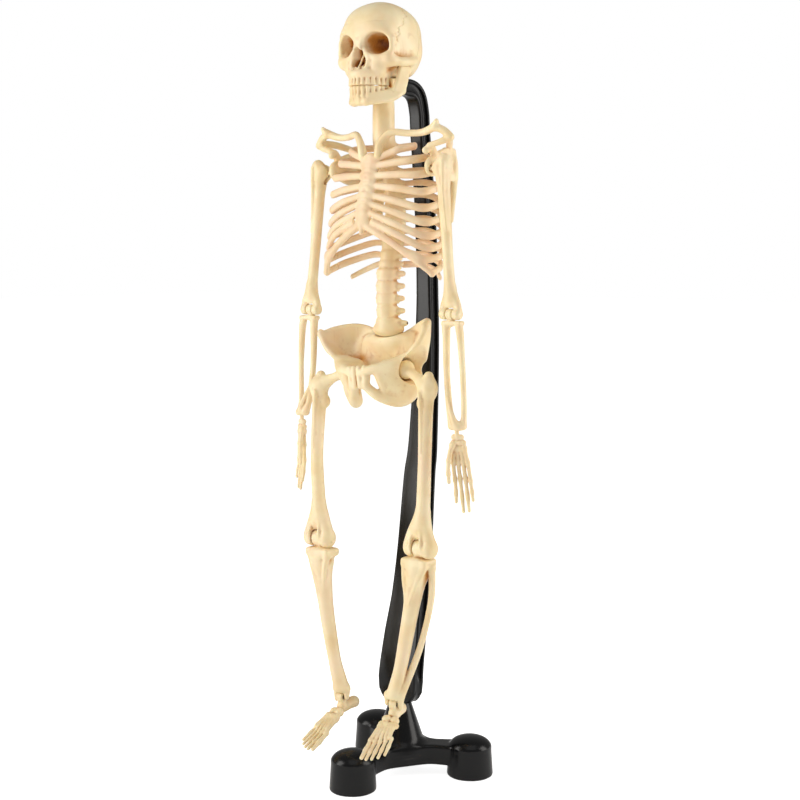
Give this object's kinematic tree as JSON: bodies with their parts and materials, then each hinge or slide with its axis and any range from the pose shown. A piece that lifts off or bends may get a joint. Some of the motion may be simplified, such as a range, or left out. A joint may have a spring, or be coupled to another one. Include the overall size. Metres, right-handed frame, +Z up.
{
  "type": "human skeleton model",
  "caption": "Desktop jointed human skeleton in ivory plastic hung by its neck from a tapered grooved post on a three-footed weighted base.",
  "frame": {"origin": "on the standing surface under the middle of the whole model's bounding box, just in front of the base's hub", "axes": "+Z up; the skeleton faces -Y; its own left arm and leg are on +X"},
  "size_m": [0.1008, 0.077, 0.3416],
  "materials": {
    "bone_plastic": "satin ivory moulded plastic, slightly yellowed in the recesses",
    "rib_plastic": "satin ivory-pink moulded plastic",
    "black_plastic": "gloss black moulded plastic",
    "steel": "plain turned steel"
  },
  "bodies": {
    "stand": {"stand_base": "black_plastic", "stand_post": "black_plastic", "post_screw": "steel", "foot_cover_front": "black_plastic", "foot_cover_left": "black_plastic", "foot_cover_right": "black_plastic", "foot_ballast_front": "steel", "foot_ballast_left": "steel", "foot_ballast_right": "steel", "spine": "bone_plastic", "rib_cage_front": "rib_plastic", "rib_cage_back": "rib_plastic", "shoulder_girdle_left": "bone_plastic", "shoulder_girdle_right": "bone_plastic"},
    "skull": {"skull_front": "bone_plastic", "skull_back": "bone_plastic"},
    "jaw": {"mandible": "bone_plastic"},
    "pelvis": {"pelvis": "bone_plastic"},
    "shoulder_peg_left": {"shoulder_peg_left": "bone_plastic"},
    "upper_arm_left": {"upper_arm_left": "bone_plastic"},
    "forearm_left": {"forearm_left": "bone_plastic", "elbow_pin_left": "steel"},
    "hand_left": {"hand_left": "bone_plastic"},
    "hip_peg_left": {"hip_peg_left": "bone_plastic"},
    "thigh_left": {"thigh_left": "bone_plastic"},
    "shin_left": {"shin_left": "bone_plastic", "knee_pin_left": "steel"},
    "foot_left": {"foot_left": "bone_plastic", "ankle_pin_left": "steel"},
    "shoulder_peg_right": {"shoulder_peg_right": "bone_plastic"},
    "upper_arm_right": {"upper_arm_right": "bone_plastic"},
    "forearm_right": {"forearm_right": "bone_plastic", "elbow_pin_right": "steel"},
    "hand_right": {"hand_right": "bone_plastic"},
    "hip_peg_right": {"hip_peg_right": "bone_plastic"},
    "thigh_right": {"thigh_right": "bone_plastic"},
    "shin_right": {"shin_right": "bone_plastic", "knee_pin_right": "steel"},
    "foot_right": {"foot_right": "bone_plastic", "ankle_pin_right": "steel"}
  },
  "joints": [
    {"name": "head_turn", "type": "hinge", "parent": "stand", "child": "skull", "pos_m": [0, 0.0025, 0.306], "axis": [0, 0, 1], "range_deg": [-30, 30]},
    {"name": "jaw_open", "type": "hinge", "parent": "skull", "child": "jaw", "pos_m": [0, 0.0045, 0.3145], "axis": [1, 0, 0], "range_deg": [0, 15]},
    {"name": "waist_turn", "type": "hinge", "parent": "stand", "child": "pelvis", "pos_m": [0, 0.006, 0.201], "axis": [0, 0, 1], "range_deg": [-20, 20]},
    {"name": "shoulder_swing_left", "type": "hinge", "parent": "stand", "child": "shoulder_peg_left", "pos_m": [0.034, 0.0002, 0.2715], "axis": [-1, 0, 0], "range_deg": [-40, 100]},
    {"name": "shoulder_raise_left", "type": "hinge", "parent": "shoulder_peg_left", "child": "upper_arm_left", "pos_m": [0.034, 0.0002, 0.2715], "axis": [0, -1, 0], "range_deg": [0, 60]},
    {"name": "elbow_left", "type": "hinge", "parent": "upper_arm_left", "child": "forearm_left", "pos_m": [0.0403, -0.0013, 0.2105], "axis": [-1, 0, 0], "range_deg": [0, 90]},
    {"name": "wrist_turn_left", "type": "hinge", "parent": "forearm_left", "child": "hand_left", "pos_m": [0.0451, -0.003, 0.161], "axis": [0, 0, 1], "range_deg": [-60, 60]},
    {"name": "hip_swing_left", "type": "hinge", "parent": "pelvis", "child": "hip_peg_left", "pos_m": [0.01644, -0.0025, 0.18604], "axis": [-1, 0, 0], "range_deg": [-4, 60]},
    {"name": "hip_spread_left", "type": "hinge", "parent": "hip_peg_left", "child": "thigh_left", "pos_m": [0.01644, -0.0025, 0.18604], "axis": [0, -1, 0], "range_deg": [0, 6]},
    {"name": "knee_left", "type": "hinge", "parent": "thigh_left", "child": "shin_left", "pos_m": [0.02954, -0.0078, 0.11044], "axis": [1, 0, 0], "range_deg": [0, 80]},
    {"name": "ankle_left", "type": "hinge", "parent": "shin_left", "child": "foot_left", "pos_m": [0.01534, -0.009, 0.03944], "axis": [0.9511, 0.309, 0], "range_deg": [-40, 0]},
    {"name": "shoulder_swing_right", "type": "hinge", "parent": "stand", "child": "shoulder_peg_right", "pos_m": [-0.034, 0.0002, 0.2715], "axis": [-1, 0, 0], "range_deg": [-40, 100]},
    {"name": "shoulder_raise_right", "type": "hinge", "parent": "shoulder_peg_right", "child": "upper_arm_right", "pos_m": [-0.034, 0.0002, 0.2715], "axis": [0, 1, 0], "range_deg": [0, 60]},
    {"name": "elbow_right", "type": "hinge", "parent": "upper_arm_right", "child": "forearm_right", "pos_m": [-0.0403, -0.0013, 0.2105], "axis": [-1, 0, 0], "range_deg": [0, 90]},
    {"name": "wrist_turn_right", "type": "hinge", "parent": "forearm_right", "child": "hand_right", "pos_m": [-0.0451, -0.003, 0.161], "axis": [0, 0, 1], "range_deg": [-60, 60]},
    {"name": "hip_swing_right", "type": "hinge", "parent": "pelvis", "child": "hip_peg_right", "pos_m": [-0.01644, -0.0025, 0.18328], "axis": [-1, 0, 0], "range_deg": [-4, 60]},
    {"name": "hip_spread_right", "type": "hinge", "parent": "hip_peg_right", "child": "thigh_right", "pos_m": [-0.01644, -0.0025, 0.18328], "axis": [0, 1, 0], "range_deg": [0, 6]},
    {"name": "knee_right", "type": "hinge", "parent": "thigh_right", "child": "shin_right", "pos_m": [-0.02954, -0.0078, 0.10768], "axis": [1, 0, 0], "range_deg": [0, 80]},
    {"name": "ankle_right", "type": "hinge", "parent": "shin_right", "child": "foot_right", "pos_m": [-0.01534, -0.009, 0.03668], "axis": [1, 0, 0], "range_deg": [-40, 0]}
  ]
}
